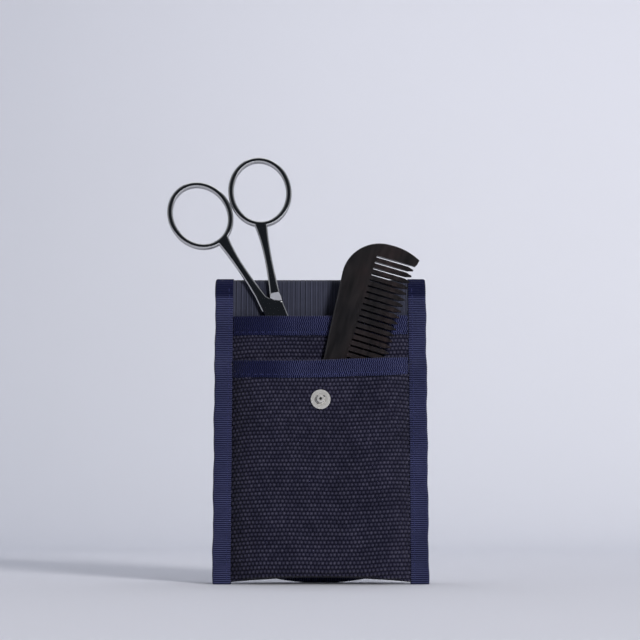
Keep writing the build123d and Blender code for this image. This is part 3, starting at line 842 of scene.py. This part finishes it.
def flap_edge(inset, corner):
    """The flap's outline drawn in by inset, as (x, w): down the left side, round the bowed end and up."""
    wide = HALF_WIDTH - inset
    radius = FLAP_END_RADIUS - inset
    centre = FLAP_LENGTH - inset - radius
    drop = centre + sqrt((radius - corner) ** 2 - (wide - corner) ** 2)
    bend = asin((wide - corner) / (radius - corner))
    down = np.linspace(FLAP_TAPE_START, drop, 520, endpoint=False)
    left = np.stack([np.full_like(down, -wide), down], axis=-1)
    angle = np.linspace(0, pi / 2 - bend, 24, endpoint=False)
    fillet = np.stack([-(wide - corner) - corner * np.cos(angle), drop + corner * np.sin(angle)], axis=-1)
    sweep = np.linspace(-bend, 0, 181)
    bow = np.stack([radius * np.sin(sweep), centre + radius * np.cos(sweep)], axis=-1)
    half = np.concatenate([left, fillet, bow])
    return np.concatenate([half, half[-2::-1] * [-1, 1]])


def distance_along(path):
    return np.concatenate([[0], np.cumsum(np.hypot(*np.diff(path, axis=0).T))])


def flap_cloths():
    """The flap's canvas and its lining, which starts nearer to the fold, since it lies outside the round."""
    edge = flap_edge(TAPE + 0.4, 7.6)
    half = edge[: len(edge) // 2 + 1]
    rows = np.linspace(FLAP_CANVAS_START, half[-1, 1], 200)
    wide = np.interp(rows, half[:, 1], -half[:, 0])[:, None]
    x = np.linspace(-1, 1, 150)[None, :] * np.maximum(wide, 0.5)
    w = rows[:, None] + 0 * x
    place = weave(x, w)
    fore = splayed(x, 1.0 + BACK_RELIEF * (1 - basket_relief(place)), w)
    rear = splayed(x, 2.68 + 0 * x, w)
    dress(shell("flap_cloth", fore, rear, place), canvas(), "flap", "canvas", "flap_panel")
    nearer = np.linspace(FLAP_LINING_START, 3.2, 3)
    x = np.concatenate([x[:1]] * len(nearer) + [x])
    w = np.concatenate([nearer, rows])[:, None] + 0 * x
    creases_and_painted_light = streaks(1.6 * x, w)
    face = splayed(x, 3.17 + 0.1 * creases_and_painted_light, w)
    under = splayed(x, 2.7 + 0 * x, w)
    # The crease heights also give the flap's lining its painted shade and highlight.
    lining = shell("flap_lining_cloth", face, under, np.stack([x, w], axis=-1), creases_and_painted_light)
    dress(lining, lining_cloth(), "flap", "lining", "flap_lining")


def flap_binding():
    """Tape folded over the flap's edge, from its canvas round to its lining."""
    outer, inner = flap_edge(0.3, 7.8), flap_edge(9.2, 1.2)
    along = distance_along(outer)
    crown = rib_relief(along)[:, None]
    leg = np.linspace(0, 1, 12)[None, :]
    turn = np.linspace(0, pi, 8)[None, 1:-1]
    loops = []
    for skin in (TAPE, 0.03):
        rib = tape_rib(crown, skin)
        low, high = 0.92 - skin - rib, 3.2 + skin + rib
        middle, thick = (low + high) / 2, (high - low) / 2
        share = np.concatenate([1 - leg + 0 * low, 0 * turn + 0 * low, leg + 0 * low], axis=1)
        share = np.maximum(share, 0.85 / 9.0 * (skin < 0.1))
        off = np.concatenate([low + 0 * leg, middle - thick * np.cos(turn), high + 0 * leg], axis=1)
        flat = outer[:, None] + (inner - outer)[:, None] * share[..., None]
        loops.append(splayed(flat[..., 0], off, flat[..., 1]))
    # Painted light: an even painted sheen all along the flap's tape.
    tape = ribbon("flap_binding", closed_profile(loops), along[:, None] / RIB, 0.9)
    dress(tape, tape_cloth(), "flap", "tape", "flap_tape")


def flap_stitches():
    """A row of stitches along the flap's tape on each of its faces."""
    line = flap_edge(7.0, 3.0)
    along = distance_along(line)
    spots = np.arange(3, along[-1] - 2, STITCH_PITCH)
    x, w = (np.interp(spots, along, line[:, axis]) for axis in (0, 1))
    next_x, next_w = (np.interp(spots + 0.5, along, line[:, axis]) for axis in (0, 1))
    for name, off, sign in (("rear", 3.72, 1), ("fore", 0.38, -1)):
        places = splayed(x, off + 0 * x, w)
        run = splayed(next_x, off + 0 * x, next_w) - places
        out = np.tile([0.0, sign * cos(FLAP_SPLAY), sign * sin(FLAP_SPLAY)], (len(x), 1))
        dress(stitch_row(f"flap_{name}_stitches", places, run, out), thread(), "flap", "tape")


class KIT_OT_flap(bpy.types.Operator):
    """Flap folded back behind the pouch: canvas, lining and edge tape"""

    bl_idname = "kit.flap"
    bl_label = "Flap"

    def execute(self, context):
        flap_cloths()
        flap_binding()
        flap_stitches()
        return {"FINISHED"}


class KIT_OT_stud(bpy.types.Operator):
    """Press stud on the front panel, made in place of the CAD stud"""

    bl_idname = "kit.stud"
    bl_label = "Press stud"

    def execute(self, context):
        flange = [(0.72, 0.1), (4.3, 0.0), (4.8, 0.02), (4.9, 0.2), (4.86, 0.42), (4.64, 0.6), (4.4, 0.62)]
        face = [(4.26, 0.56), (4.1, 0.64), (3.85, 0.68), (3.6, 0.69), (3.35, 0.68), (3.0, 0.67), (2.8, 0.58)]
        groove = [(2.66, 0.3), (2.48, 0.14), (2.2, 0.14), (2.05, 0.4)]
        post = [(1.86, 1.0), (1.78, 1.6), (1.9, 2.2), (1.88, 2.7), (1.6, 3.0), (1.15, 3.08)]
        hole = [(0.86, 2.9), (0.75, 2.3), (0.72, 1.2)]
        profile = flange + face + groove + post + hole
        seat = (0, PANEL_FRONT - FRONT_DEPTH - 0.05, STUD_Z)
        stud = lathe("stud_post", smooth_profile(profile), seat, (0, -1, 0), (0.07, 3.6, 0.4))
        dress(stud, stud_metal(), "pouch", "snap_metal", "snap_stud")
        return {"FINISHED"}


class KIT_OT_finishes(bpy.types.Operator):
    """Finishes for the scissors, the comb and the metal that keeps its CAD shape"""

    bl_idname = "kit.finishes"
    bl_label = "Tool finishes"

    def execute(self, context):
        metal = context.scene.kit_metal
        steel = steel_material("polished steel", tuple(metal.steel), metal.steel_roughness)
        wood = wood_material("dark comb wood", (0.0045, 0.0043, 0.0048), (0.0145, 0.0127, 0.0135))
        for material, names in (
            (steel, ("scissor_front_half", "scissor_rear_half", "pivot_screw", "snap_spring")),
            (stud_metal(), ("snap_eyelet", "snap_cap", "snap_socket")),
            (wood, ("comb",)),
        ):
            for name in names:
                node = frame["nodes"][name]
                node.data.materials.clear()
                node.data.materials.append(material)
        return {"FINISHED"}


def pale(name, colour):
    """Pale paper with painted light: a glow seen by the camera and in reflections brightens its far part, and
    more so on the right.
    """
    material, nodes, links, shader = new_material(name)
    place = nodes.new("ShaderNodeTexCoord").outputs["Object"]
    shade = ramp(nodes, [(0.3, tuple(0.985 * c for c in colour)), (0.7, colour)])
    links.new(noise(nodes, links, place, 2.0), shade.inputs["Fac"])
    links.new(shade.outputs["Color"], shader.inputs["Base Color"])
    shader.inputs["Roughness"].default_value = 0.9
    shader.inputs["Specular IOR Level"].default_value = 0.2
    split = nodes.new("ShaderNodeSeparateXYZ")
    links.new(place, split.inputs["Vector"])
    # Painted light: the glow's colours, darker on the left and lighter on the right.
    left, middle, right = (0.0, 0.008, 0.018), (0.075, 0.082, 0.094), (0.125, 0.131, 0.145)
    painted_glow = ramp(nodes, [(0.0, left), (0.5, middle), (1.0, right)])
    links.new(remap(nodes, links, split.outputs["X"], -0.45, 0.45), painted_glow.inputs["Fac"])
    links.new(painted_glow.outputs["Color"], shader.inputs["Emission Color"])
    far = remap(nodes, links, split.outputs["Y"], -0.15, 1.3, kind="SMOOTHSTEP")
    path = nodes.new("ShaderNodeLightPath").outputs
    seen = maths(nodes, links, "MAXIMUM", path["Is Camera Ray"], path["Is Glossy Ray"])
    seen = maths(nodes, links, "MAXIMUM", seen, path["Is Transmission Ray"])
    links.new(maths(nodes, links, "MULTIPLY", seen, far), shader.inputs["Emission Strength"])
    return material


def area_light(name, place, target, size, energy, colour):
    data = bpy.data.lights.new(name, "AREA")
    data.shape = "RECTANGLE"
    data.size, data.size_y = size
    data.energy = energy
    data.color = colour
    lamp = bpy.data.objects.new(name, data)
    lamp.location = place
    lamp.rotation_euler = (Vector(target) - Vector(place)).to_track_quat("-Z", "Y").to_euler()
    bpy.context.scene.collection.objects.link(lamp)
    return lamp


def paper_sweep():
    """Paper that lies flat, bends up behind the object and goes on upright."""
    half_width, flat_end, radius, top = 4, 0.9, 0.6, 5.0
    quarter = radius * pi / 2
    x = np.linspace(-half_width, half_width, 9)[None, :]
    t = np.concatenate([[-3.0, -1.0, 0.0, flat_end], flat_end + np.linspace(0.05, 1, 16) * quarter, [top]])
    bend = np.clip((t - flat_end) / radius, 0, pi / 2)
    y = np.minimum(t, flat_end) + radius * np.sin(bend)
    z = radius * (1 - np.cos(bend)) + np.clip(t - flat_end - quarter, 0, None)
    points = spread(x, y[:, None], z[:, None]).reshape(-1, 3)
    sweep = mesh_object("paper_sweep", points, grid_quads(len(t), 9))
    sweep.data.flip_normals()
    sweep.data.materials.append(pale("pale paper", (0.68, 0.692, 0.76)))


def front_camera(scene):
    camera = bpy.data.cameras.new("view")
    camera.lens = 112.5
    camera.sensor_width = 36.0
    camera.sensor_fit = "HORIZONTAL"
    camera.clip_end = 30
    eye = bpy.data.objects.new("view", camera)
    eye.location = (SHIFT[0] - 0.0003, SHIFT[1] - 0.9945, 0.036)
    eye.rotation_euler = (radians(90 + 5.45), 0, 0)
    scene.collection.objects.link(eye)
    scene.camera = eye


def studio_world(scene):
    """Light that depends on the angle from a direction in front: pale behind, with a dark patch ahead."""
    world = bpy.data.worlds.new("studio")
    scene.world = world
    world.use_nodes = True
    nodes, links = world.node_tree.nodes, world.node_tree.links
    background = nodes["Background"]
    toward = nodes.new("ShaderNodeVectorMath")
    toward.operation = "DOT_PRODUCT"
    toward.inputs[1].default_value = (0.0, -0.97, 0.24)
    links.new(nodes.new("ShaderNodeTexCoord").outputs["Generated"], toward.inputs[0])
    shade = ramp(nodes, [
        (0.05, (0.75, 0.77, 0.83)), (0.3, (0.3, 0.31, 0.34)), (0.48, (0.46, 0.48, 0.52)),
        (0.62, (0.8, 0.82, 0.88)), (0.76, (0.6, 0.62, 0.66)), (0.86, (0.17, 0.18, 0.2)),
        (0.96, (0.026, 0.03, 0.038)),
    ])
    links.new(remap(nodes, links, toward.outputs["Value"], -1.0, 1.0), shade.inputs["Fac"])
    links.new(shade.outputs["Color"], background.inputs["Color"])
    background.inputs["Strength"].default_value = 0.57


class KIT_OT_stage(bpy.types.Operator):
    """Paper sweep, lamps, world and camera"""

    bl_idname = "kit.stage"
    bl_label = "Stage"

    def execute(self, context):
        paper_sweep()
        front_camera(context.scene)
        aim = (SHIFT[0], 0, 0.08)
        key = area_light("key", (1.5, -2.75, 0.88), aim, (0.62, 0.62), 118.0, (1.0, 0.975, 0.95))
        key.visible_glossy = False
        area_light("top", (0.1, 0.35, 1.3), aim, (1.2, 0.9), 4.4, (0.97, 0.98, 1.0))
        studio_world(context.scene)
        context.scene.view_settings.view_transform = "Standard"
        return {"FINISHED"}


class KIT_PT_panel(bpy.types.Panel):
    bl_idname = "KIT_PT_panel"
    bl_label = "Grooming kit"
    bl_space_type = "VIEW_3D"
    bl_region_type = "UI"
    bl_category = "Grooming kit"

    def draw(self, context):
        layout = self.layout
        for group in (context.scene.kit_cloth, context.scene.kit_metal):
            for name in group.bl_rna.properties.keys():
                if name not in ("rna_type", "name"):
                    layout.prop(group, name)
        for operator in OPERATORS:
            layout.operator(operator.bl_idname)


OPERATORS = (
    KIT_OT_stage, KIT_OT_front, KIT_OT_divider, KIT_OT_back, KIT_OT_side_tapes, KIT_OT_mouth_tapes,
    KIT_OT_flap, KIT_OT_stud, KIT_OT_finishes,
)
CLASSES = (KitCloth, KitMetal, *OPERATORS, KIT_PT_panel)


def register():
    for item in CLASSES:
        bpy.utils.register_class(item)
    bpy.types.Scene.kit_cloth = bpy.props.PointerProperty(type=KitCloth)
    bpy.types.Scene.kit_metal = bpy.props.PointerProperty(type=KitMetal)


def unregister():
    del bpy.types.Scene.kit_cloth
    del bpy.types.Scene.kit_metal
    for item in reversed(CLASSES):
        bpy.utils.unregister_class(item)


def corners(box):
    return [[float(c) for c in corner] for corner in box]


def main():
    register()
    for operator in OPERATORS:
        group, name = operator.bl_idname.split(".")
        if getattr(getattr(bpy.ops, group), name)() != {"FINISHED"}:
            raise RuntimeError(f"{operator.bl_label} was not made")


if __name__ == "__main__":
    main()
